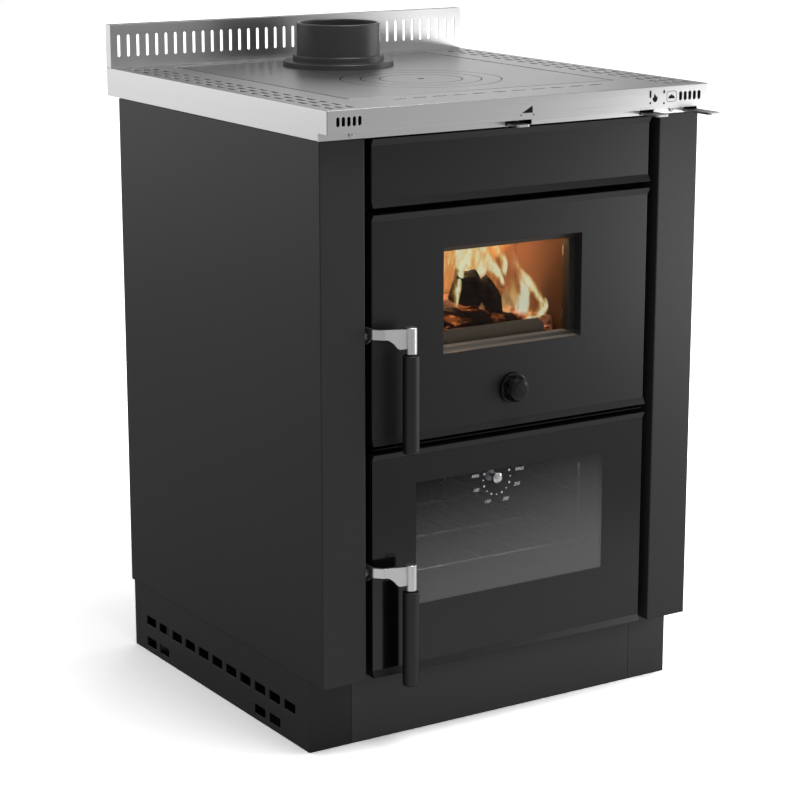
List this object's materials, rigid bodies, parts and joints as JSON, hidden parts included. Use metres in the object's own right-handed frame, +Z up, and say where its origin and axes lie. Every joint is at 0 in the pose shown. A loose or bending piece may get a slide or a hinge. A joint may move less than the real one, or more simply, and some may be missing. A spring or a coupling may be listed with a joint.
{
  "type": "wood-burning cookstove",
  "caption": "Free-standing wood cookstove with a steel hob and lift-out rings, a glazed fire door, an oven below it, pull-rod dampers and a vented stainless worktop.",
  "frame": {"origin": "on the floor, at the middle of the stove's outline with its pull rods", "axes": "+X to the right of a person facing the doors, +Y to the back of the stove, +Z up"},
  "size_m": [0.6, 0.654, 0.9217],
  "materials": {
    "black_paint": "satin anthracite stove paint",
    "stove_body": "matt heat-resistant black",
    "galvanised_sheet": "dull zinc sheet",
    "zinc_steel": "zinc-plated",
    "oven_enamel": "dark enamel",
    "chrome_wire": "bright chromed wire",
    "firebrick": "matt fireclay, smoke-stained",
    "cast_iron": "matt black cast iron",
    "hob_steel": "ground steel hob",
    "flue_black": "satin black casting",
    "stainless": "brushed stainless",
    "lever_steel": "plain steel",
    "ceramic_glass": "clear ceramic glass",
    "smoked_glass": "smoked glass with a black printed border",
    "clear_glass": "clear glass",
    "rope_seal": "braided glass-fibre rope",
    "satin_aluminium": "satin cast aluminium",
    "polished_steel": "turned steel",
    "black_grip": "matt black"
  },
  "bodies": {
    "stove": {"ash_drawer": "galvanised_sheet", "back_panel": "galvanised_sheet", "base_plate": "galvanised_sheet", "door_keepers": "stove_body", "door_ledge": "stove_body", "fascia_panel": "black_paint", "firebox_shell": "stove_body", "firebricks": "firebrick", "flue_collar": "flue_black", "flue_spigot": "flue_black", "front_frame": "stove_body", "grate": "cast_iron", "hearth_plate": "firebrick", "hinge_brackets": "stove_body", "hob_frame": "cast_iron", "hob_plate": "hob_steel", "inner_casing": "stove_body", "levelling_feet": "zinc_steel", "lever_strip": "stainless", "log_guard": "cast_iron", "oven_box": "oven_enamel", "oven_rack": "chrome_wire", "oven_rack_guides": "chrome_wire", "plinth_back": "black_paint", "plinth_front": "black_paint", "plinth_left": "black_paint", "plinth_right": "black_paint", "side_panel_left": "black_paint", "side_panel_right": "black_paint", "smoke_divider": "stove_body", "splashback": "stainless", "strip_screws": "stainless", "worktop": "stainless"},
    "fire_door": {"fire_door_panel": "black_paint", "fire_door_frame": "cast_iron", "fire_door_glass": "ceramic_glass", "glass_clips": "lever_steel", "fire_door_seal": "rope_seal", "fire_hinge_pins": "lever_steel"},
    "fire_handle": {"fire_handle_bracket": "satin_aluminium", "fire_handle_grip": "black_grip"},
    "air_control": {"air_knob": "black_grip", "air_shutter": "lever_steel"},
    "oven_door": {"oven_door_panel": "black_paint", "oven_door_glass": "smoked_glass", "oven_door_frame": "cast_iron", "oven_inner_glass": "clear_glass", "oven_door_seal": "rope_seal", "oven_hinge_pins": "lever_steel", "oven_thermometer": "polished_steel"},
    "oven_handle": {"oven_handle_bracket": "satin_aluminium", "oven_handle_grip": "black_grip"},
    "air_lever": {"air_lever": "lever_steel"},
    "bypass_damper": {"bypass_damper": "lever_steel"},
    "oven_damper_rod": {"oven_damper_rod": "lever_steel"},
    "oven_damper": {"oven_damper_shaft": "lever_steel", "oven_damper_flap": "lever_steel"},
    "hob_ring_outer": {"hob_ring_outer": "hob_steel"},
    "hob_ring_inner": {"hob_ring_inner": "hob_steel"},
    "hob_disc": {"hob_disc": "hob_steel"}
  },
  "joints": [
    {"name": "fire_door_hinge", "type": "hinge", "parent": "stove", "child": "fire_door", "pos_m": [0.214, -0.257, 0.56975], "axis": [0, 0, 1], "range_deg": [0, 100]},
    {"name": "oven_door_hinge", "type": "hinge", "parent": "stove", "child": "oven_door", "pos_m": [0.214, -0.257, 0.25455], "axis": [0, 0, 1], "range_deg": [0, 100]},
    {"name": "fire_handle_turn", "type": "hinge", "parent": "fire_door", "child": "fire_handle", "pos_m": [-0.226, -0.257, 0.5622], "axis": [-1, 0, 0], "range_deg": [0, 35]},
    {"name": "oven_handle_turn", "type": "hinge", "parent": "oven_door", "child": "oven_handle", "pos_m": [-0.226, -0.257, 0.2446], "axis": [-1, 0, 0], "range_deg": [0, 35]},
    {"name": "air_knob_turn", "type": "hinge", "parent": "fire_door", "child": "air_control", "pos_m": [0, -0.269, 0.469], "axis": [0, -1, 0], "range_deg": [0, 60]},
    {"name": "air_lever_slide", "type": "slide", "parent": "stove", "child": "air_lever", "axis": [1, 0, 0], "range_m": [0, 0.018]},
    {"name": "bypass_damper_slide", "type": "slide", "parent": "stove", "child": "bypass_damper", "axis": [0, -1, 0], "range_m": [0, 0.04]},
    {"name": "oven_damper_pull", "type": "slide", "parent": "stove", "child": "oven_damper_rod", "axis": [0, -1, 0], "range_m": [0, 0.044]},
    {"name": "oven_damper_turn", "type": "hinge", "parent": "stove", "child": "oven_damper", "pos_m": [0, 0.187, 0.794], "axis": [1, 0, 0], "range_deg": [0, 81]},
    {"name": "hob_ring_outer_lift", "type": "slide", "parent": "stove", "child": "hob_ring_outer", "axis": [0, 0, 1], "range_m": [0, 0.06]},
    {"name": "hob_ring_inner_lift", "type": "slide", "parent": "hob_ring_outer", "child": "hob_ring_inner", "axis": [0, 0, 1], "range_m": [0, 0.06]},
    {"name": "hob_disc_lift", "type": "slide", "parent": "hob_ring_inner", "child": "hob_disc", "axis": [0, 0, 1], "range_m": [0, 0.06]}
  ],
  "couplings": [
    {"joint": "oven_damper_turn", "follows": "oven_damper_pull", "rad_per_m": 31.9}
  ]
}
